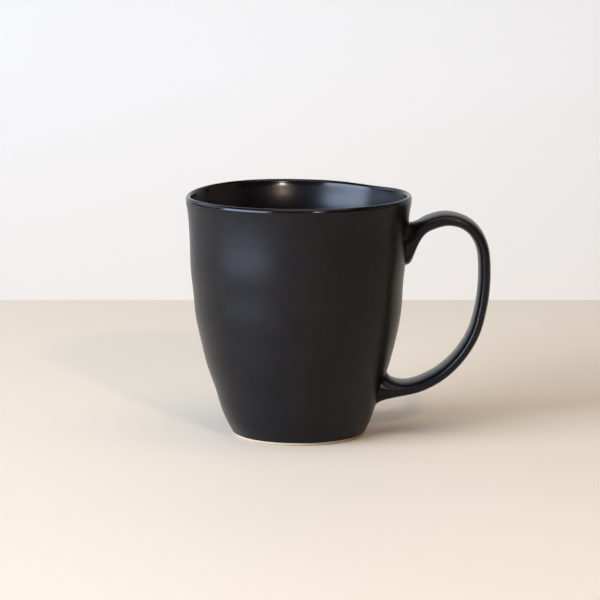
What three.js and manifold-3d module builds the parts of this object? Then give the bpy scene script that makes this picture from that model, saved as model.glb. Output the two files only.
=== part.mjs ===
// A hand-thrown stoneware mug with a pulled strap handle, coated in black matte glaze.
// Millimetres, +Z up. The mug stands on z = 0 and its handle points along +X.
import * as THREE from "three";
import { mergeVertices } from "three/addons/utils/BufferGeometryUtils.js";
import Module from "manifold-3d";

const wasm = await Module();
wasm.setup();

// Cup
const HEIGHT = 95; // table to the top of the lip
const RIM_RADIUS = 44.35; // widest point, at the lip
const FOOT_RADIUS = 26.1; // glazed wall where it stops above the foot
const WALL = 3.6; // wall, with its glaze on both sides
const LIP = 2.3; // lip, with its glaze
const LIP_TAPER = 14; // height over which the wall thins to the lip
const FLOOR = 5; // floor of the cup, with its glaze
const FLOOR_CORNER = 9; // height over which the floor sweeps up into the wall

// Foot
const RING_WIDTH = 4.4; // flat clay ring that the mug stands on
const RING_CHAMFER = 0.5; // bevel along both edges of the ring
const RECESS = 2; // hollow under the floor, inside the ring
const BARE_FOOT = 1.1; // clay left bare above the table

// Coatings
const GLAZE = 0.4;
const SLIP = 0.5;
const FIT_GAP = 0.1; // clearance between one layer and the next
const GLAZE_SHORT_OF_RING = 0.8; // bare clay left round the base glaze

// Handle, along its centre line
const HANDLE_REACH = 28.45; // rim to the farthest point of the centre line
const CREST_DROP = 9.5; // top of the lip down to the crest
const UPPER_ROOT_DROP = 20; // top of the lip down to the upper root
const LOWER_ROOT_HEIGHT = 18; // table to the lower root
const STRAP_WIDTH = 16;
const STRAP_THICKNESS = 4.8;
const STRAP_FULLNESS = 3; // section: 2 is an ellipse, and more has fuller sides
const ROOT_WIDENING = 1.1; // strap width at the wall, against its width elsewhere
const ROOT_THICKENING = 2; // strap thickness at the wall, against its thickness elsewhere
const ROOT_LENGTH = 22; // distance from each end over which the strap swells
const ROOT_DEPTH = 7; // how far the strap runs into the wall before it is trimmed
const UPPER_ROOT_RISE = 0.8; // how steeply the strap leaves the wall at its upper root
const UPPER_PAD = { out: 3.2, width: 17.6, height: 16.5 }; // clay smeared onto the wall
const LOWER_PAD = { out: 4, width: 17, height: 13.5 };

// Fineness of the surfaces
const AROUND = 40;
const WALL_STEPS = 12;
const INNER_STEPS = 9;
const LIP_STEPS = 3; // an odd count puts one step at the very top
const CORNER_STEPS = 4;
const STRAP_STEPS = 28;
const ROOT_CROWDING = 0.5; // how much closer the strap's steps are near its roots
const STRAP_SIDES = 12;
const PAD_SIDES = 12;

// Outside of the wall from the foot to the lip: [part of the height, part of the way from
// the foot's radius to the rim's radius].
const WALL_SHAPE = [
  [0.07, 0.165],
  [0.24, 0.46],
  [0.43, 0.71],
  [0.62, 0.85],
  [0.75, 0.905],
  [0.87, 0.925],
  [0.95, 0.97],
];

// Centre line of the handle between its roots: [part of the reach out from the rim,
// part of the height from the lower root to the crest].
const HANDLE_SHAPE = [
  [0.1, 0.93],
  [0.26, 0.98],
  [0.49, 1.0],
  [0.75, 0.97],
  [0.925, 0.885],
  [1.0, 0.73],
  [0.96, 0.5],
  [0.81, 0.285],
  [0.55, 0.14],
  [0.22, 0.045],
];

const LAYER = GLAZE + FIT_GAP; // outside of the glaze down to the clay
const OVERRUN = 5; // how far a cutting solid runs past what it cuts
const SAME_POINT = 1e-5; // corners closer than this are one corner

function point(r, z) {
  return new THREE.Vector2(r, z);
}

// Solids ------------------------------------------------------------------------------------

function solid(geometry) {
  const bare = geometry.clone();
  bare.deleteAttribute("normal");
  bare.deleteAttribute("uv");
  const merged = mergeVertices(bare, SAME_POINT);
  const corners = merged.index.array;
  const faces = [];
  for (let i = 0; i < corners.length; i += 3) {
    const [a, b, c] = corners.slice(i, i + 3);
    if (a !== b && b !== c && c !== a) faces.push(a, b, c);
  }
  return new wasm.Manifold(new wasm.Mesh({
    numProp: 3,
    vertProperties: new Float32Array(merged.attributes.position.array),
    triVerts: new Uint32Array(faces),
  }));
}

function turned(profile) {
  const geometry = new THREE.LatheGeometry(profile, AROUND);
  geometry.rotateX(Math.PI / 2);
  return solid(geometry);
}

function mesh(name, body, material) {
  const { vertProperties, triVerts } = body.getMesh();
  const geometry = new THREE.BufferGeometry();
  geometry.setAttribute("position", new THREE.BufferAttribute(vertProperties, 3));
  geometry.setIndex(new THREE.BufferAttribute(triVerts, 1));
  geometry.computeVertexNormals();
  const part = new THREE.Mesh(geometry, material);
  part.name = name;
  return part;
}

// Profiles ----------------------------------------------------------------------------------

const lipCentre = point(RIM_RADIUS - LIP / 2, HEIGHT - LIP / 2);

const outside = new THREE.SplineCurve([
  point(FOOT_RADIUS, BARE_FOOT),
  ...WALL_SHAPE.map(([rise, spread]) =>
    point(THREE.MathUtils.lerp(FOOT_RADIUS, RIM_RADIUS, spread), HEIGHT * rise)),
  point(RIM_RADIUS, lipCentre.y),
]).getSpacedPoints(WALL_STEPS);

function outerRadius(z) {
  const next = Math.max(1, outside.findIndex((p) => p.y >= z));
  const below = outside[next - 1];
  const above = outside[next];
  return THREE.MathUtils.mapLinear(z, below.y, above.y, below.x, above.x);
}

function innerRadius(z) {
  const tapered = THREE.MathUtils.smoothstep(lipCentre.y - z, 0, LIP_TAPER);
  return outerRadius(z) - THREE.MathUtils.lerp(LIP, WALL, tapered);
}

function lipArc() {
  const arc = [];
  for (let i = 1; i <= LIP_STEPS; i++) {
    const angle = (Math.PI * i) / (LIP_STEPS + 1);
    arc.push(point(Math.cos(angle), Math.sin(angle)).multiplyScalar(LIP / 2).add(lipCentre));
  }
  return arc;
}

function insideOfCup() {
  const floorZ = RECESS + FLOOR;
  const cornerZ = floorZ + FLOOR_CORNER;
  const points = [];
  for (let i = 0; i <= INNER_STEPS; i++) {
    const z = THREE.MathUtils.lerp(lipCentre.y, cornerZ, i / INNER_STEPS);
    points.push(point(innerRadius(z), z));
  }
  const corner = new THREE.QuadraticBezierCurve(
    points.pop(),
    point(innerRadius(floorZ), floorZ),
    point(innerRadius(floorZ) - FLOOR_CORNER, floorZ),
  );
  return [...points, ...corner.getPoints(CORNER_STEPS), point(0, floorZ)];
}

// Outside of the glaze, from the foot over the lip to the middle of the floor.
const skin = [...outside, ...lipArc(), ...insideOfCup()];

// Moves a profile sideways: away from the clay when distance is positive, into it otherwise.
// A point on the axis stays on the axis.
function offset(profile, distance) {
  return profile.map((here, i) => {
    const before = profile[Math.max(i - 1, 0)];
    const after = profile[Math.min(i + 1, profile.length - 1)];
    const along = after.clone().sub(before).normalize();
    const r = here.x === 0 ? 0 : here.x + along.y * distance;
    return point(r, here.y - along.x * distance);
  });
}

// The whole cup as if it were solid, with its outside moved by distance.
function filledCup(distance) {
  const side = offset(outside, distance);
  return turned([
    point(0, side[0].y - OVERRUN),
    point(side[0].x, side[0].y - OVERRUN),
    ...side,
    point(side.at(-1).x, HEIGHT + OVERRUN),
    point(0, HEIGHT + OVERRUN),
  ]);
}

// Handle ------------------------------------------------------------------------------------

const crestZ = HEIGHT - CREST_DROP;
const upperRootZ = HEIGHT - UPPER_ROOT_DROP;

const centreLine = new THREE.CatmullRomCurve3([
  new THREE.Vector3(
    outerRadius(upperRootZ) - ROOT_DEPTH,
    0,
    upperRootZ - ROOT_DEPTH * UPPER_ROOT_RISE,
  ),
  ...HANDLE_SHAPE.map(([out, up]) => new THREE.Vector3(
    RIM_RADIUS + HANDLE_REACH * out,
    0,
    THREE.MathUtils.lerp(LOWER_ROOT_HEIGHT, crestZ, up),
  )),
  new THREE.Vector3(outerRadius(LOWER_ROOT_HEIGHT) + ROOT_DEPTH / 2, 0, LOWER_ROOT_HEIGHT),
  new THREE.Vector3(outerRadius(LOWER_ROOT_HEIGHT) - ROOT_DEPTH, 0, LOWER_ROOT_HEIGHT),
]);

// A flattened oval with full sides, one unit from its centre to each side.
function ovalSection() {
  const filled = (x) => Math.sign(x) * Math.abs(x) ** (2 / STRAP_FULLNESS);
  const corners = [];
  for (let i = 0; i < STRAP_SIDES; i++) {
    const angle = (2 * Math.PI * i) / STRAP_SIDES;
    corners.push(point(filled(Math.cos(angle)), filled(Math.sin(angle))));
  }
  return new THREE.Shape(corners);
}

// The strap with its surface moved by distance. The straight extrusion is bent along the
// centre line, with its steps closer together near the roots.
function strap(distance) {
  const geometry = new THREE.ExtrudeGeometry(ovalSection(), {
    depth: 1,
    steps: STRAP_STEPS,
    bevelEnabled: false,
  });
  const corners = geometry.attributes.position;
  const length = centreLine.getLength();
  for (let i = 0; i < corners.count; i++) {
    const step = corners.getZ(i);
    const crowded = step - (ROOT_CROWDING * Math.sin(2 * Math.PI * step)) / (2 * Math.PI);
    const t = THREE.MathUtils.clamp(crowded, 0, 1);
    const fromEnd = length * Math.min(t, 1 - t);
    const swell = 1 - THREE.MathUtils.smoothstep(fromEnd, 0, ROOT_LENGTH);
    const width = STRAP_WIDTH * THREE.MathUtils.lerp(1, ROOT_WIDENING, swell);
    const thickness = STRAP_THICKNESS * THREE.MathUtils.lerp(1, ROOT_THICKENING, swell);
    const centre = centreLine.getPointAt(t);
    const along = centreLine.getTangentAt(t);
    const across = corners.getX(i) * (width / 2 + distance);
    const through = corners.getY(i) * (thickness / 2 + distance);
    corners.setXYZ(i, centre.x - along.z * through, across, centre.z + along.x * through);
  }
  return solid(geometry);
}

// Clay smeared from the strap onto the wall, as part of an ellipsoid centred on the wall.
function rootPad({ out, width, height }, z, distance) {
  const geometry = new THREE.SphereGeometry(1, PAD_SIDES, PAD_SIDES / 2);
  geometry.rotateX(Math.PI / 2);
  geometry.scale(out + distance, width / 2 + distance, height / 2 + distance);
  geometry.translate(outerRadius(z), 0, z);
  return solid(geometry);
}

const insideOfWall = filledCup(-WALL / 2);

function handle(distance) {
  return strap(distance)
    .add(rootPad(UPPER_PAD, upperRootZ, distance))
    .add(rootPad(LOWER_PAD, LOWER_ROOT_HEIGHT, distance))
    .subtract(insideOfWall);
}

// Sub-parts ---------------------------------------------------------------------------------

const stoneware = { color: "#cdb491", roughness: 0.9, metalness: 0 };
const blackMatte = { color: "#29282b", roughness: 0.45, metalness: 0 };

function clayBody() {
  const clay = offset(skin, -LAYER);
  const ringOuter = clay[0].x;
  const ringInner = ringOuter - RING_WIDTH;
  return turned([
    point(0, RECESS),
    point(ringInner, RECESS),
    point(ringInner, RING_CHAMFER),
    point(ringInner + RING_CHAMFER, 0),
    point(ringOuter - RING_CHAMFER, 0),
    point(ringOuter, RING_CHAMFER),
    ...clay,
  ]);
}

function clayHandle() {
  return handle(-LAYER).subtract(filledCup(SLIP + 2 * FIT_GAP - LAYER));
}

function lutingSlips() {
  const layer = filledCup(SLIP + FIT_GAP - LAYER).subtract(filledCup(FIT_GAP - LAYER));
  const pads = handle(-LAYER).intersect(layer).decompose();
  return pads.sort((a, b) => b.boundingBox().max[2] - a.boundingBox().max[2]);
}

function glazeCoat() {
  const underGlaze = offset(skin, -GLAZE);
  const coated = turned([point(0, skin[0].y), ...skin]).add(handle(0));
  const hollow = turned([
    point(0, underGlaze[0].y - OVERRUN),
    point(underGlaze[0].x, underGlaze[0].y - OVERRUN),
    ...underGlaze,
  ]).add(handle(-GLAZE));
  return coated.subtract(hollow);
}

function baseGlaze() {
  const radius = offset(skin, -LAYER)[0].x - RING_WIDTH - GLAZE_SHORT_OF_RING;
  return turned([
    point(0, RECESS - LAYER),
    point(radius, RECESS - LAYER),
    point(radius, RECESS - FIT_GAP),
    point(0, RECESS - FIT_GAP),
  ]);
}

const [upperSlip, lowerSlip] = lutingSlips();
const mug = new THREE.Group();
mug.add(
  mesh("clay_body", clayBody(), new THREE.MeshStandardMaterial(stoneware)),
  mesh("clay_handle", clayHandle(), new THREE.MeshStandardMaterial(stoneware)),
  mesh("upper_luting_slip", upperSlip, new THREE.MeshStandardMaterial(stoneware)),
  mesh("lower_luting_slip", lowerSlip, new THREE.MeshStandardMaterial(stoneware)),
  mesh("glaze_coat", glazeCoat(), new THREE.MeshStandardMaterial(blackMatte)),
  mesh("base_glaze", baseGlaze(), new THREE.MeshStandardMaterial(blackMatte)),
);

// The origin is on the table, under the middle of the mug and its handle together.
const middle = new THREE.Box3().setFromObject(mug).getCenter(new THREE.Vector3());
mug.position.x = -middle.x;

export default mug;
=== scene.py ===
import math

import bpy
import numpy as np
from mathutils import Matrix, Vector, noise


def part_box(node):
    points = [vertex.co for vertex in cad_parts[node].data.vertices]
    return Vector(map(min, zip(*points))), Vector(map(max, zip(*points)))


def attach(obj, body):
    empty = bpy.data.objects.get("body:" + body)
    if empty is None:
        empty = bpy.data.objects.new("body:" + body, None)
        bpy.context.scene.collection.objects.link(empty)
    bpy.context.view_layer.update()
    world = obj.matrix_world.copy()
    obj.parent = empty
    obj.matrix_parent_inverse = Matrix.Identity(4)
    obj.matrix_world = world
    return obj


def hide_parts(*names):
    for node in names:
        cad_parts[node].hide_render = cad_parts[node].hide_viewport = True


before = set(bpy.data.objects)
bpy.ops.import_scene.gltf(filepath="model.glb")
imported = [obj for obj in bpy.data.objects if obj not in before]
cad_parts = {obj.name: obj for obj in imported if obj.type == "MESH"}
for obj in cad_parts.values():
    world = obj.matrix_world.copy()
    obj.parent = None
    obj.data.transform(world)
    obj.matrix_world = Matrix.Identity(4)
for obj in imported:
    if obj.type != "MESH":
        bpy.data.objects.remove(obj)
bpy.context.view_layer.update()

# A thrown stoneware mug in black matte glaze. Lengths are in metres, in the CAD frame.
MM = 0.001

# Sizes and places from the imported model.
COAT_LOW, COAT_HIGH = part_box("glaze_coat")
HANDLE_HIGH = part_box("clay_handle")[1]
BASE_LOW, BASE_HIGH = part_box("base_glaze")
RIM_RADIUS = COAT_HIGH.y
AXIS_X = COAT_LOW.x + RIM_RADIUS
HEIGHT = COAT_HIGH.z
GLAZE_LINE = COAT_LOW.z

# Thrown cup
FOOT_RADIUS = 26.35 * MM
WALL = 3.6 * MM
LIP = 2.3 * MM
LIP_ROUND = 1.8 * MM  # height of the rounded part of the lip
LIP_TAPER = 14 * MM  # height over which the wall thins to the lip
FLOOR_TOP = 7 * MM
FLOOR_CORNER = 9 * MM
GLAZE = 0.4 * MM
CLAY_GAP = 0.05 * MM  # left between the glaze and the clay so that they don't cut each other

# Outside of the wall: [part of the height, part of the way from foot radius to rim radius].
WALL_SHAPE = [
    (0.0116, 0.0),
    (0.074, 0.15),
    (0.18, 0.335),
    (0.305, 0.545),
    (0.43, 0.71),
    (0.56, 0.815),
    (0.69, 0.885),
    (0.81, 0.918),
    (0.875, 0.925),
    (0.937, 0.957),
    (0.97, 0.987),
    (0.988, 1.0),
]

# What the thrower's hands left in the wall
RING_PITCH = 19 * MM
RING_HEIGHT = 47.5 * MM  # one ring stands proud here, opposite the handle
RING_DEPTH_FAR = 0.12 * MM  # opposite the handle
RING_DEPTH_NEAR = 0.06 * MM  # beside the handle
RING_TILT = 1.66 * MM  # the rings stand this much higher at the front, and lower at the back
LEAN = 0.25 * MM  # the lower wall sits this far away from the handle
THUMB_DENT = 0.75 * MM  # pressed in under the upper root while the handle was stuck on
THUMB_HEIGHT = 63 * MM
THUMB_SIZE = 9 * MM  # from the dent's middle up or down to where it has mostly faded
THUMB_ARC = math.radians(27)  # the same, sideways round the wall
LUMP_DEPTH = 0.07 * MM  # slow unevenness all over the wall
LUMP_SIZE = 22 * MM
WALL_STARTS = 15 * MM  # nothing nearer the axis is pressed in or out
RIM_WAVES_START = 0.68  # part of the height above which the rim's waves show

# Where the rim leaves its level: how far it rises, at what angle and over what width, in
# degrees. Angle 0 is over the handle, and -90 is the front.
RIM_WAVES = [
    (-0.75 * MM, 46, 19),
    (0.6 * MM, 122, 35),
    (-0.25 * MM, 180, 20),
    (0.3 * MM, -90, 55),
]

# Foot
RING_WIDTH = 4.4 * MM
RECESS = 2 * MM
FOOT_EDGE = 0.8 * MM  # radius rubbed onto the foot ring's edges
GLAZE_EDGE = 0.16 * MM  # how far the glaze bulges below its line
GLAZE_WANDER = 0.13 * MM  # most that its line wanders up or down round the foot
GLAZE_LUMPS = 2.2  # the noise's lumps in the foot's radius, which is about 14 round it

# Pulled handle
STRAP_WIDTH = 16 * MM
STRAP_THICKNESS = 4.8 * MM
OUTER_FULLNESS = 3  # of the strap's section: 2 is an ellipse, and more has fuller sides
INNER_FULLNESS = 2.3


# Shaping helpers ---------------------------------------------------------------------------


def smoothstep(x):
    x = np.clip(x, 0, 1)
    return x * x * (3 - 2 * x)


def bell(x, width):
    return np.exp(-((x / width) ** 2))


def smooth_curve(points):
    """A function through (x, y) points that doesn't overshoot between them."""
    xs, ys = np.array(points, float).T
    steps = np.diff(xs)
    rises = np.diff(ys) / steps
    slopes = np.zeros(len(xs))
    for i in range(1, len(xs) - 1):
        if rises[i - 1] * rises[i] > 0:
            before, after = steps[i - 1], steps[i]
            weights = (2 * after + before, after + 2 * before)
            slopes[i] = sum(weights) / (weights[0] / rises[i - 1] + weights[1] / rises[i])
    slopes[0], slopes[-1] = rises[0], rises[-1]

    def value(x):
        x = np.clip(x, xs[0], xs[-1])
        i = np.clip(np.searchsorted(xs, x) - 1, 0, len(steps) - 1)
        t = (x - xs[i]) / steps[i]
        rest = 1 - t
        start = ys[i] * (1 + 2 * t) * rest**2 + slopes[i] * steps[i] * t * rest**2
        end = ys[i + 1] * (1 + 2 * rest) * t**2 - slopes[i + 1] * steps[i] * rest * t**2
        return start + end

    return value


def unevenness(points, size, seed):
    """Smooth noise from -1 to 1 at each point, with lumps of that size."""
    offset = Vector((seed * 7.3, seed * 3.1, seed * 5.7))
    flat = points.reshape(-1, 3) / size
    values = [noise.noise(Vector(p) + offset) for p in flat]
    return np.array(values).reshape(points.shape[:-1])


def turned_mesh(name, rows, material):
    """A closed mesh from rows of points that run round it. The first and last rows are each
    shrunk to a point, and count as one point."""
    around = rows.shape[1]
    between = rows[1:-1].reshape(-1, 3)
    points = np.concatenate([rows[0, :1], between, rows[-1, :1]])
    here = 1 + np.arange(len(between)).reshape(-1, around)
    after = np.roll(here, -1, axis=1)
    quads = np.stack([here[:-1], after[:-1], after[1:], here[1:]], axis=-1)
    faces = quads.reshape(-1, 4).tolist()
    faces += [(0, int(b), int(a)) for a, b in zip(here[0], after[0])]
    faces += [(len(points) - 1, int(a), int(b)) for a, b in zip(here[-1], after[-1])]
    mesh = bpy.data.meshes.new(name)
    mesh.from_pydata(points.tolist(), [], faces)
    mesh.polygons.foreach_set("use_smooth", [True] * len(mesh.polygons))
    mesh.materials.append(material)
    mesh.update()
    piece = bpy.data.objects.new(name, mesh)
    bpy.context.scene.collection.objects.link(piece)
    return piece


# Cup surface -------------------------------------------------------------------------------

outer_radius = smooth_curve(
    [(HEIGHT * rise, FOOT_RADIUS + (RIM_RADIUS - FOOT_RADIUS) * k) for rise, k in WALL_SHAPE]
)


def inner_radius(z):
    thin = np.clip(1 - (HEIGHT - LIP_ROUND - z) / LIP_TAPER, 0, 1) ** 2
    return outer_radius(z) - WALL + (WALL - LIP) * thin


def bezier(points, count):
    """Points along a Bezier curve of any degree, from its control points."""
    t = np.linspace(0, 1, count)[:, None]
    layers = [np.array(p, float)[None] for p in points]
    while len(layers) > 1:
        layers = [a * (1 - t) + b * t for a, b in zip(layers, layers[1:])]
    return layers[0]


def outside_profile(rows):
    z = np.linspace(GLAZE_LINE, HEIGHT - LIP_ROUND, rows)
    return np.stack([outer_radius(z), z], axis=1)


def lip_profile(rows):
    angle = np.linspace(0, math.pi, rows + 2)[1:-1]
    centre = (RIM_RADIUS - LIP / 2, HEIGHT - LIP_ROUND)
    return np.stack([np.cos(angle), np.sin(angle)], axis=1) * (LIP / 2, LIP_ROUND) + centre


def inside_profile(wall_rows, corner_rows, floor_rows):
    corner_z = FLOOR_TOP + FLOOR_CORNER
    z = np.linspace(HEIGHT - LIP_ROUND, corner_z, wall_rows)
    wall = np.stack([inner_radius(z), z], axis=1)
    foot_of_wall = inner_radius(FLOOR_TOP)
    slope = (inner_radius(corner_z + MM) - inner_radius(corner_z)) / MM
    corner_end = foot_of_wall - FLOOR_CORNER
    corner = bezier(
        [wall[-1], (wall[-1][0] - slope * FLOOR_CORNER, FLOOR_TOP), (corner_end, FLOOR_TOP)],
        corner_rows,
    )
    floor_r = np.linspace(corner_end, 0, floor_rows)
    floor = np.stack([floor_r, np.full(floor_rows, FLOOR_TOP)], axis=1)
    return np.concatenate([wall[:-1], corner, floor[1:]])


def inset(profile, distance):
    """The profile moved that far into the clay."""
    along = np.gradient(profile, axis=0)
    along /= np.linalg.norm(along, axis=1)[:, None]
    moved = profile + np.stack([-along[:, 1], along[:, 0]], axis=1) * distance
    moved[profile[:, 0] == 0, 0] = 0
    return moved


def turned(profile, around):
    """Rows of points from turning a profile, in the cup's own coordinates."""
    angle = np.linspace(0, 2 * math.pi, around, endpoint=False)
    r, z = profile[:, 0][:, None], profile[:, 1][:, None]
    return np.stack([r * np.cos(angle), r * np.sin(angle), z + 0 * angle], axis=-1)


def turn_between(angle, other):
    return (angle - other + math.pi) % (2 * math.pi) - math.pi


def thrown(points):
    """Moves points of a true round cup to where the thrower's hands left them, in the frame."""
    x, y, z = points[..., 0], points[..., 1], points[..., 2]
    r, angle = np.hypot(x, y), np.arctan2(y, x)
    up = z / HEIGHT

    # Throwing rings, which run a little askew. They and the lumps fade in from 6 to 16 mm up,
    # and out from 16 to 4 mm below the lip.
    away = 0.5 - 0.5 * np.cos(angle)
    depth = RING_DEPTH_NEAR + (RING_DEPTH_FAR - RING_DEPTH_NEAR) * away
    ring = np.cos(2 * math.pi * (z - RING_HEIGHT + RING_TILT * np.sin(angle)) / RING_PITCH)
    held = smoothstep((z - 6 * MM) / (10 * MM)) * smoothstep((HEIGHT - 4 * MM - z) / (12 * MM))
    dent = bell(z - THUMB_HEIGHT, THUMB_SIZE) * bell(angle, THUMB_ARC)
    lumps = LUMP_DEPTH * unevenness(points, LUMP_SIZE, 1)
    on_wall = r > WALL_STARTS
    radius = r + on_wall * ((depth * ring + lumps) * held - THUMB_DENT * dent)

    near_lip = smoothstep((up - RIM_WAVES_START) / (1 - RIM_WAVES_START))
    wave = 0
    for rise, at, width in RIM_WAVES:
        wave = wave + rise * bell(turn_between(angle, math.radians(at)), math.radians(width))
    height = z + near_lip * wave

    # The lean grows over the first 10 mm and is gone by four fifths of the height.
    lean = LEAN * smoothstep((z - MM) / (9 * MM)) * smoothstep((0.8 - up) / 0.4)
    return np.stack(
        [AXIS_X - lean + radius * np.cos(angle), radius * np.sin(angle), height], axis=-1
    )


def wall_points(angle, z, distance=0.0):
    """Points on the outside of the thrown wall, moved that far out."""
    r = outer_radius(z) + distance
    return thrown(np.stack([r * np.cos(angle), r * np.sin(angle), z + 0 * angle], axis=-1))


# Pieces ------------------------------------------------------------------------------------


def make_glazed_cup(material):
    """The glaze over the outside, lip and inside, as a closed skin. Its lower edge is rounded
    and wanders a little round the foot, where it was wiped back by hand."""
    seen = np.concatenate([outside_profile(110), lip_profile(14), inside_profile(80, 24, 12)])
    hidden = np.concatenate([outside_profile(40), lip_profile(5), inside_profile(30, 10, 6)])
    hidden = inset(hidden, GLAZE)[::-1]
    middle = (hidden[-1] + seen[0]) / 2
    half = (seen[0] - hidden[-1]) / 2
    swing = np.linspace(0, math.pi, 5)[1:-1, None]
    rolled = middle - half * np.cos(swing) - (0, GLAZE_EDGE) * np.sin(swing)
    rows = turned(np.concatenate([hidden, rolled, seen]), 300)
    circle = turned(np.array([(GLAZE_LUMPS, 0)]), rows.shape[1])[0]
    wander = GLAZE_WANDER * unevenness(circle, 1.0, 2)
    outer = rows[len(hidden) :]  # the hidden side stays put, clear of the clay
    low = smoothstep((5 * MM - outer[..., 2]) / (4 * MM))
    outer[..., 2] += low * (wander + GLAZE_EDGE)
    return turned_mesh("glazed_cup", thrown(rows), material)


def make_stoneware_body(material):
    """The clay cup under the glaze. Only its foot ring and the recess inside it are bare."""
    under = np.concatenate([outside_profile(40), lip_profile(5), inside_profile(30, 10, 6)])
    under = inset(under, GLAZE + CLAY_GAP)
    ring_out = under[0, 0]
    ring_in = ring_out - RING_WIDTH
    arc = np.linspace(0, math.pi / 2, 6)[:, None]
    inner_turn = np.hstack([-np.cos(arc), -np.sin(arc)]) * FOOT_EDGE
    outer_turn = np.hstack([np.sin(arc), -np.cos(arc)]) * FOOT_EDGE
    inner_edge = inner_turn + (ring_in + FOOT_EDGE, FOOT_EDGE)
    outer_edge = outer_turn + (ring_out - FOOT_EDGE, FOOT_EDGE)
    ceiling = np.array([(0, RECESS), (ring_in - 6 * MM, RECESS), (ring_in - 1.2 * MM, RECESS)])
    corner = bezier([(ring_in - 0.6 * MM, RECESS), (ring_in, RECESS), (ring_in, 1.2 * MM)], 5)
    standing = np.linspace(ring_in + FOOT_EDGE, ring_out - FOOT_EDGE, 8)[1:-1]
    standing = np.stack([standing, 0 * standing], axis=1)
    profile = np.concatenate([ceiling, corner, inner_edge, standing, outer_edge, under])
    rows = turned(profile, 240)
    return turned_mesh("stoneware_body", thrown(rows), material)


def make_base_glaze(material):
    """Glaze poured into the recess: a thin pool with a rounded, slightly raised edge."""
    radius = (BASE_HIGH.y - BASE_LOW.y) / 2
    top, face = BASE_HIGH.z, BASE_LOW.z
    edge_width = 1.6 * MM
    swell = 0.07 * MM
    flat_r = np.linspace(0, radius - edge_width, 12)[:-1]
    flat_part = np.stack([flat_r, np.full(len(flat_r), face)], axis=1)
    edge = bezier(
        [
            (radius - edge_width, face),
            (radius - 0.9 * MM, face - 2 * swell),
            (radius, face - swell),
            (radius, top),
        ],
        10,
    )
    rows = turned(np.concatenate([flat_part, edge, [(radius * 0.6, top), (0, top)]]), 160)
    reach = np.hypot(rows[..., 0], rows[..., 1])
    level = rows * (1, 1, 0)
    face_down = rows[..., 2] < top - 0.1 * MM
    sag = 0.05 * MM * unevenness(level, 8 * MM, 3) * smoothstep((radius - reach) / (4 * MM))
    rows[..., 2] += face_down * sag
    wander = 0.35 * MM * unevenness(level, 7 * MM, 4) * (reach > radius * 0.8)
    rows[..., :2] *= (1 + wander / radius)[..., None]
    rows[..., 0] += AXIS_X
    return turned_mesh("base_glaze_pool", rows, material)


# Handle ------------------------------------------------------------------------------------

CAD_GAP = 0.1 * MM  # the CAD leaves this between the handle's clay and its glaze
CREST_Z = HANDLE_HIGH.z + CAD_GAP + GLAZE - STRAP_THICKNESS / 2
FAR_X = COAT_HIGH.x - STRAP_THICKNESS / 2

# Centre line between the roots, in the same terms as the CAD handle: [part of the reach out
# from the rim, part of the height from the lower root to the crest].
HANDLE_SHAPE = [
    (0.244, 0.976),
    (0.36, 0.993),
    (0.49, 1.0),
    (0.625, 0.991),
    (0.75, 0.968),
    (0.85, 0.932),
    (0.925, 0.884),
    (0.97, 0.832),
    (0.992, 0.775),
    (1.0, 0.667),
    (0.982, 0.555),
    (0.935, 0.443),
    (0.86, 0.335),
    (0.73, 0.235),
    (0.565, 0.15),
    (0.37, 0.081),
    (0.13, 0.028),
    (0.005, 0.0125),
]
LOWER_ROOT_Z = 18 * MM

# Where each root meets the wall, and how the clay was drawn out round the joint. Over is the
# strap's outer face, under its inner face and side its front and back. The clay stands out
# from the wall by the lift, is drawn in towards the middle by the tuck, and runs straight on
# from the strap for the run. Each face is (reach from the root's middle, lift, tuck, run).
UPPER_ROOT = {
    "middle": 76.2 * MM,
    "over": (7.9 * MM, 3.0 * MM, 0.2 * MM, 3.0 * MM),
    "under": (9.0 * MM, 4.6 * MM, 0.0, 8.5 * MM),
    "side": (8.8 * MM, 4.0 * MM, 0.3 * MM, 4.5 * MM),
}
LOWER_ROOT = {
    "middle": LOWER_ROOT_Z,
    "over": (6.8 * MM, 3.3 * MM, 3.6 * MM, 5.5 * MM),
    "under": (6.9 * MM, 0.6 * MM, 3.2 * MM, 4.2 * MM),
    "side": (8.4 * MM, 2.6 * MM, 0.5 * MM, 4.5 * MM),
}


def spaced_path(points, count):
    """Evenly spaced places and directions along a Catmull-Rom curve through the points."""
    points = np.array(points, float)
    ends = [2 * points[0] - points[1], 2 * points[-1] - points[-2]]
    p = np.concatenate([[ends[0]], points, [ends[1]]])
    t = np.linspace(0, 1, 40, endpoint=False)[:, None]
    pieces = []
    for a, b, c, d in zip(p, p[1:], p[2:], p[3:]):
        pieces.append(
            0.5 * (2 * b + (c - a) * t + (2 * a - 5 * b + 4 * c - d) * t**2 + (3 * b - a - 3 * c + d) * t**3)
        )
    dense = np.concatenate([*pieces, [points[-1]]])
    travelled = np.concatenate([[0], np.cumsum(np.linalg.norm(np.diff(dense, axis=0), axis=1))])
    at = np.linspace(0, travelled[-1], count)
    places = np.stack([np.interp(at, travelled, dense[:, i]) for i in range(3)], axis=1)
    kernel = np.ones(5) / 5
    for i in range(3):
        places[2:-2, i] = np.convolve(places[:, i], kernel, "valid")
    along = np.gradient(places, axis=0)
    return places, along / np.linalg.norm(along, axis=1)[:, None], travelled[-1]


def strap_section(turn, place, along, width, thickness):
    """One loop of the strap, square to its centre line."""
    outward = np.array([-along[2], 0, along[0]])
    full = 2 / np.where(np.sin(turn) > 0, OUTER_FULLNESS, INNER_FULLNESS)
    across = np.sign(np.cos(turn)) * np.abs(np.cos(turn)) ** full * width / 2
    through = np.sign(np.sin(turn)) * np.abs(np.sin(turn)) ** full * thickness / 2
    return place + across[:, None] * np.array([0, 1.0, 0]) + through[:, None] * outward


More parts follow.
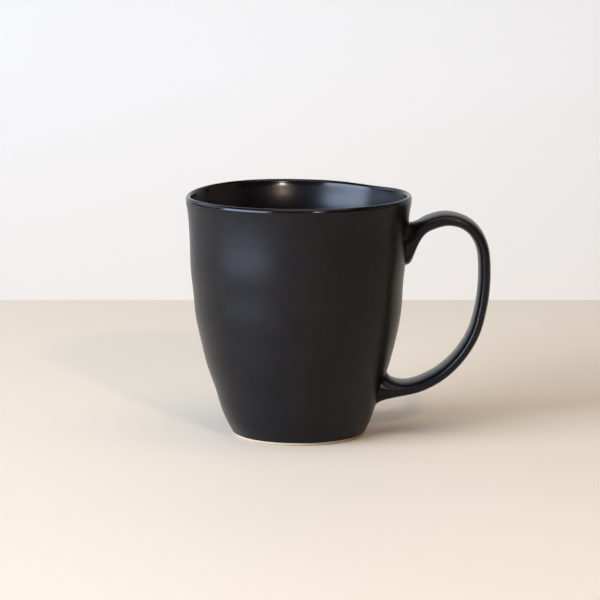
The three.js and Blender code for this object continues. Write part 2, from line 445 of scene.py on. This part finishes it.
SKIN_DEPTH = 0.05 * MM  # a root's visible edge starts this far inside the wall
BURIED_DEPTH = 0.35 * MM  # its last loop, out of sight
POLE_DEPTH = 0.6 * MM  # its closing point, inward from the middle of that loop


def root_rows(turn, root, section, along, towards_wall, rows):
    """Rows that carry the strap's last loop onto the wall, with the clay drawn out round the
    joint. The first row lies just inside the wall."""
    upper = np.sin(turn) > 0
    share = (np.sin(turn) ** 2)[:, None]
    face = np.where(upper[:, None], [root["over"]], [root["under"]])
    blend = face * share + np.array(root["side"]) * (1 - share)
    lift, tuck, run = blend[:, 1:2], blend[:, 2:3], blend[:, 3:4]
    z = root["middle"] + towards_wall * np.sin(turn) * face[:, 0]
    y = np.cos(turn) * root["side"][0]
    angle = np.arcsin(y / outer_radius(z))
    footprint = wall_points(angle, z)
    outside = wall_points(angle, z, MM) - footprint
    outside /= np.linalg.norm(outside, axis=1)[:, None]
    inward = footprint.mean(axis=0) - footprint
    inward -= outside * np.sum(inward * outside, axis=1)[:, None]
    inward /= np.linalg.norm(inward, axis=1)[:, None]
    start = footprint - outside * SKIN_DEPTH
    pull = start + outside * lift + inward * tuck
    push = section - along * np.sign(towards_wall) * run
    # The power sets the rows closer together near the wall.
    t = np.linspace(0, 1, rows)[:, None, None] ** 1.3
    loft = start * (1 - t) ** 3 + 3 * pull * t * (1 - t) ** 2
    loft = loft + 3 * push * t**2 * (1 - t) + section * t**3
    buried = footprint - outside * BURIED_DEPTH
    return np.concatenate([buried[None], loft])


def make_glazed_handle(material):
    """The pulled strap with both roots smoothed onto the wall, as one closed body. It is a
    little thicker and wider towards each root, and narrowest in the middle."""
    reach = FAR_X - (AXIS_X + RIM_RADIUS)
    middle_line = [
        (AXIS_X + RIM_RADIUS + reach * out, 0, LOWER_ROOT_Z + (CREST_Z - LOWER_ROOT_Z) * up)
        for out, up in HANDLE_SHAPE
    ]
    places, along, length = spaced_path(middle_line, 150)
    turn = np.linspace(0, 2 * math.pi, 72, endpoint=False)
    travelled = np.linspace(0, length, len(places))
    thick = STRAP_THICKNESS * (
        1
        + 0.18 * (1 - smoothstep(travelled / (14 * MM)))
        + 0.1 * (1 - smoothstep((length - travelled) / (30 * MM)))
    )
    wide = STRAP_WIDTH * (
        1
        + 0.04 * (1 - smoothstep(travelled / (25 * MM)))
        + 0.03 * (1 - smoothstep((length - travelled) / (25 * MM)))
        - 0.03 * bell(travelled - 0.5 * length, 0.2 * length)
    )
    strap = np.array(
        [strap_section(turn, p, a, w, h) for p, a, w, h in zip(places, along, wide, thick)]
    )
    strap += (0.05 * MM * unevenness(strap, 9 * MM, 5))[..., None] * (
        strap - places[:, None]
    ) / np.linalg.norm(strap - places[:, None], axis=-1)[..., None]
    upper = root_rows(turn, UPPER_ROOT, strap[0], along[0], 1, 26)
    lower = root_rows(turn, LOWER_ROOT, strap[-1], along[-1], -1, 26)[::-1]
    start = upper[0].mean(axis=0) - np.array([POLE_DEPTH, 0, 0])
    end = lower[-1].mean(axis=0) - np.array([POLE_DEPTH, 0, 0])
    rows = np.concatenate(
        [
            np.repeat(start[None, None], len(turn), axis=1),
            upper[:-1],
            strap,
            lower[1:],
            np.repeat(end[None, None], len(turn), axis=1),
        ]
    )
    return turned_mesh("glazed_handle", rows, material)


# Materials ---------------------------------------------------------------------------------

# Sockets of a Mix node that mixes colours
COLOUR_A, COLOUR_B, MIXED_COLOUR = 6, 7, 2


def linear(hex_colour):
    """An sRGB hex colour as the linear RGBA that the shader takes."""
    values = [int(hex_colour[i : i + 2], 16) / 255 for i in (1, 3, 5)]
    return [v / 12.92 if v <= 0.04045 else ((v + 0.055) / 1.055) ** 2.4 for v in values] + [1]


def add(tree, kind, settings=None, links=None):
    """Adds a node, sets its properties and inputs, and links outputs of other nodes to it."""
    node = tree.nodes.new(kind)
    for name, value in (settings or {}).items():
        if isinstance(name, int) or name in node.inputs:
            node.inputs[name].default_value = value
        else:
            setattr(node, name, value)
    for name, output in (links or {}).items():
        tree.links.new(output, node.inputs[name])
    return node


def new_material(name):
    material = bpy.data.materials.new(name)
    material.use_nodes = True
    material.node_tree.nodes.clear()
    return material, material.node_tree


def black_matte_glaze():
    """A satin black glaze on stoneware, coloured with iron and cobalt, dipped in one go and
    fired to just short of glossy. Fine crystals in it scatter the light into a soft sheen,
    and the surface keeps a faint ripple and a few pinholes."""
    material, tree = new_material("black_matte_glaze")
    place = add(tree, "ShaderNodeTexCoord").outputs["Object"]

    # Clouds of slightly browner and bluer black, 12 mm across.
    clouds = add(
        tree,
        "ShaderNodeTexNoise",
        {"Scale": 1 / (12 * MM), "Detail": 3.0, "Roughness": 0.5},
        {"Vector": place},
    )
    cloud_range = add(
        tree,
        "ShaderNodeMapRange",
        {"From Min": 0.35, "From Max": 0.65},
        {"Value": clouds.outputs["Fac"]},
    )
    clouded = add(
        tree,
        "ShaderNodeMix",
        {"data_type": "RGBA", COLOUR_A: linear("#09090a"), COLOUR_B: linear("#0f0c0d")},
        {"Factor": cloud_range.outputs["Result"]},
    )

    # Crystals in the matte surface. Real ones are some 0.05 mm across, too fine to show, so
    # they are drawn 0.5 mm across.
    crystals = add(
        tree,
        "ShaderNodeTexNoise",
        {"Scale": 1 / (0.5 * MM), "Detail": 2.0, "Roughness": 0.6},
        {"Vector": place},
    )
    sheen_range = add(
        tree,
        "ShaderNodeMapRange",
        {"From Min": 0.3, "From Max": 0.7, "To Min": 0.27, "To Max": 0.33},
        {"Value": crystals.outputs["Fac"]},
    )

    # The lip is smoother than the rest, which draws a brighter line along it.
    height = add(tree, "ShaderNodeSeparateXYZ", {}, {"Vector": place}).outputs["Z"]
    lip_polish = add(
        tree,
        "ShaderNodeMapRange",
        {"From Min": HEIGHT - 2.6 * MM, "From Max": HEIGHT - 1.4 * MM, "To Min": 1.0, "To Max": 0.5},
        {"Value": height},
    )
    roughness = add(
        tree,
        "ShaderNodeMath",
        {"operation": "MULTIPLY"},
        {0: sheen_range.outputs["Result"], 1: lip_polish.outputs["Result"]},
    )

    # Ripple left by the dip, 3 mm across, drawn by bump because it is only microns deep.
    ripple = add(
        tree,
        "ShaderNodeTexNoise",
        {"Scale": 1 / (3 * MM), "Detail": 2.0, "Roughness": 0.5},
        {"Vector": place},
    )
    ripple_bump = add(
        tree,
        "ShaderNodeBump",
        {"Strength": 0.5, "Distance": 0.02 * MM},
        {"Height": ripple.outputs["Fac"]},
    )
    crystal_bump = add(
        tree,
        "ShaderNodeBump",
        {"Strength": 0.5, "Distance": 0.006 * MM},
        {"Height": crystals.outputs["Fac"], "Normal": ripple_bump.outputs["Normal"]},
    )

    # A few pinholes and pale grains, about 0.3 mm across and 6 mm apart.
    cells = add(
        tree,
        "ShaderNodeTexVoronoi",
        {"Scale": 1 / (6 * MM), "Randomness": 1.0},
        {"Vector": place},
    )
    grains = add(
        tree,
        "ShaderNodeMapRange",
        {"From Min": 0.02, "From Max": 0.032, "To Min": 1.0, "To Max": 0.0},
        {"Value": cells.outputs["Distance"]},
    )
    grained = add(
        tree,
        "ShaderNodeMix",
        {"data_type": "RGBA", COLOUR_B: linear("#57504b")},
        {"Factor": grains.outputs["Result"], COLOUR_A: clouded.outputs[MIXED_COLOUR]},
    )
    grain_bump = add(
        tree,
        "ShaderNodeBump",
        {"Strength": 0.4, "Distance": 0.03 * MM, "invert": True},
        {"Height": grains.outputs["Result"], "Normal": crystal_bump.outputs["Normal"]},
    )

    # A glaze's index is about 1.5. It was lowered until the shine was faint enough.
    shader = add(
        tree,
        "ShaderNodeBsdfPrincipled",
        {"Metallic": 0.0, "IOR": 1.3},
        {
            "Base Color": grained.outputs[MIXED_COLOUR],
            "Roughness": roughness.outputs["Value"],
            "Normal": grain_bump.outputs["Normal"],
        },
    )
    add(tree, "ShaderNodeOutputMaterial", {}, {"Surface": shader.outputs["BSDF"]})
    return material


def buff_stoneware():
    """Buff stoneware, fired bare and then rubbed smooth under the foot. It is open and dull,
    with fine sand and a few iron specks that burned brown."""
    material, tree = new_material("buff_stoneware")
    place = add(tree, "ShaderNodeTexCoord").outputs["Object"]

    # Warmer and paler patches from the kiln, 9 mm across.
    patches = add(
        tree,
        "ShaderNodeTexNoise",
        {"Scale": 1 / (9 * MM), "Detail": 4.0, "Roughness": 0.55},
        {"Vector": place},
    )
    patched = add(
        tree,
        "ShaderNodeMix",
        {"data_type": "RGBA", COLOUR_A: linear("#a18663"), COLOUR_B: linear("#bba78a")},
        {"Factor": patches.outputs["Fac"]},
    )

    # Sand, 0.45 mm across.
    sand = add(
        tree,
        "ShaderNodeTexNoise",
        {"Scale": 1 / (0.45 * MM), "Detail": 3.0, "Roughness": 0.7},
        {"Vector": place},
    )
    sand_range = add(
        tree,
        "ShaderNodeMapRange",
        {"From Min": 0.55, "From Max": 0.8},
        {"Value": sand.outputs["Fac"]},
    )
    sanded = add(
        tree,
        "ShaderNodeMix",
        {"data_type": "RGBA", COLOUR_B: linear("#8f7352")},
        {"Factor": sand_range.outputs["Result"], COLOUR_A: patched.outputs[MIXED_COLOUR]},
    )

    # Iron specks, 0.3 mm across and 2 mm apart.
    cells = add(
        tree,
        "ShaderNodeTexVoronoi",
        {"Scale": 1 / (2 * MM), "Randomness": 1.0},
        {"Vector": place},
    )
    specks = add(
        tree,
        "ShaderNodeMapRange",
        {"From Min": 0.06, "From Max": 0.11, "To Min": 1.0, "To Max": 0.0},
        {"Value": cells.outputs["Distance"]},
    )
    specked = add(
        tree,
        "ShaderNodeMix",
        {"data_type": "RGBA", COLOUR_B: linear("#5a3a22")},
        {"Factor": specks.outputs["Result"], COLOUR_A: sanded.outputs[MIXED_COLOUR]},
    )

    bump = add(
        tree,
        "ShaderNodeBump",
        {"Strength": 0.7, "Distance": 0.05 * MM},
        {"Height": sand.outputs["Fac"]},
    )
    shader = add(
        tree,
        "ShaderNodeBsdfPrincipled",
        {"Metallic": 0.0, "Roughness": 0.88, "IOR": 1.45},
        {"Base Color": specked.outputs[MIXED_COLOUR], "Normal": bump.outputs["Normal"]},
    )
    add(tree, "ShaderNodeOutputMaterial", {}, {"Surface": shader.outputs["BSDF"]})
    return material


def plain_paint(name, colour, roughness):
    """Plain matte paint for the stage. It is even and has no sheen to draw the eye."""
    material, tree = new_material(name)
    shader = add(
        tree,
        "ShaderNodeBsdfPrincipled",
        {"Base Color": linear(colour), "Roughness": roughness},
    )
    add(tree, "ShaderNodeOutputMaterial", {}, {"Surface": shader.outputs["BSDF"]})
    return material


# Stage, lights and camera ------------------------------------------------------------------

EYE_DISTANCE = 1.2814
EYE_HEIGHT = 0.2738
EYE_SIDE = 0.47 * MM  # to the right of the cup's axis
LOOK_DOWN = math.radians(9.773)
SENSOR = 36  # mm
FOCAL = 198.4  # mm

# The table ends where the eye's middle line meets it.
TABLE_BACK = EYE_HEIGHT / math.tan(LOOK_DOWN) - EYE_DISTANCE


def make_sheet(name, corners, material):
    mesh = bpy.data.meshes.new(name)
    mesh.from_pydata(corners, [], [(0, 1, 2, 3)])
    mesh.materials.append(material)
    sheet = bpy.data.objects.new(name, mesh)
    bpy.context.scene.collection.objects.link(sheet)


def make_stage():
    table_paint = plain_paint("matte_table_paint", "#d0c1a9", 0.7)
    wall_paint = plain_paint("matte_wall_paint", "#dfd9cc", 0.9)
    half, front = 1.6, -1.6
    make_sheet(
        "table",
        [(-half, front, 0), (half, front, 0), (half, TABLE_BACK, 0), (-half, TABLE_BACK, 0)],
        table_paint,
    )
    wide, far, low, high = 2.4, 1.5, -0.8, 1.8
    make_sheet(
        "wall",
        [(-wide, far, low), (wide, far, low), (wide, far, high), (-wide, far, high)],
        wall_paint,
    )


def make_area_light(name, place, aim, size, watts, colour):
    light = bpy.data.lights.new(name, "AREA")
    light.shape = "RECTANGLE"
    light.size, light.size_y = size
    light.energy = watts
    light.color = linear(colour)[:3]
    lamp = bpy.data.objects.new(name, light)
    lamp.location = place
    lamp.rotation_euler = (Vector(aim) - Vector(place)).to_track_quat("-Z", "Y").to_euler()
    bpy.context.scene.collection.objects.link(lamp)


def towards(azimuth, elevation, distance, centre):
    """A place that far from centre. Azimuth 0 is in front of the mug, and positive is left."""
    a, e = math.radians(azimuth), math.radians(elevation)
    away = Vector((-math.sin(a) * math.cos(e), -math.cos(a) * math.cos(e), math.sin(e)))
    return Vector(centre) + away * distance


def make_lights():
    """Cool daylight from the left, a small warm lamp on the right, a soft ceiling, and a light
    below the table's back edge for the wall. Powers are in watts and sizes in metres."""
    mug = Vector((AXIS_X, 0, HEIGHT / 2))
    make_area_light("window", towards(57, 16, 1.6, mug), mug, (1.5, 1.0), 102, "#c9dbfb")
    make_area_light("side_window", towards(112, 28, 1.6, mug), mug, (1.0, 0.8), 8, "#c6dcff")
    make_area_light("lamp", towards(-20, 29, 1.5, mug), mug, (0.1, 0.1), 7, "#ffe9da")
    make_area_light("room_bounce", towards(-95, 20, 1.6, mug), mug, (1.2, 0.9), 1.6, "#ffdccb")
    make_area_light("ceiling", (0.2, -0.4, 1.9), (0, 0, 0), (2.0, 1.4), 20, "#fff6ea")
    make_area_light("wall_light", (0, 0.75, -0.75), (0, 1.5, 0), (1.6, 0.5), 7, "#fff0de")
    world = bpy.data.worlds.new("room")
    world.use_nodes = True
    background = world.node_tree.nodes["Background"]
    background.inputs["Color"].default_value = linear("#d8cabf")
    background.inputs["Strength"].default_value = 0.035
    bpy.context.scene.world = world


def make_camera():
    camera = bpy.data.cameras.new("camera")
    camera.sensor_width = SENSOR
    camera.lens = FOCAL
    camera.clip_start, camera.clip_end = 0.05, 20
    eye = bpy.data.objects.new("camera", camera)
    eye.location = (AXIS_X + EYE_SIDE, -EYE_DISTANCE, EYE_HEIGHT)
    eye.rotation_euler = (math.pi / 2 - LOOK_DOWN, 0, 0)
    bpy.context.scene.collection.objects.link(eye)
    bpy.context.scene.camera = eye


# Assembly ----------------------------------------------------------------------------------

make_camera()
make_stage()
make_lights()
bpy.context.scene.view_settings.view_transform = "Standard"

glaze = black_matte_glaze()
clay = buff_stoneware()

glazed_cup = make_glazed_cup(glaze)
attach(glazed_cup, "root")
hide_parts("glaze_coat")

glazed_handle = make_glazed_handle(glaze)
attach(glazed_handle, "root")
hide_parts("clay_handle", "upper_luting_slip", "lower_luting_slip")

stoneware_body = make_stoneware_body(clay)
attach(stoneware_body, "root")
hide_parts("clay_body")

base_glaze_pool = make_base_glaze(glaze)
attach(base_glaze_pool, "root")
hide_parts("base_glaze")
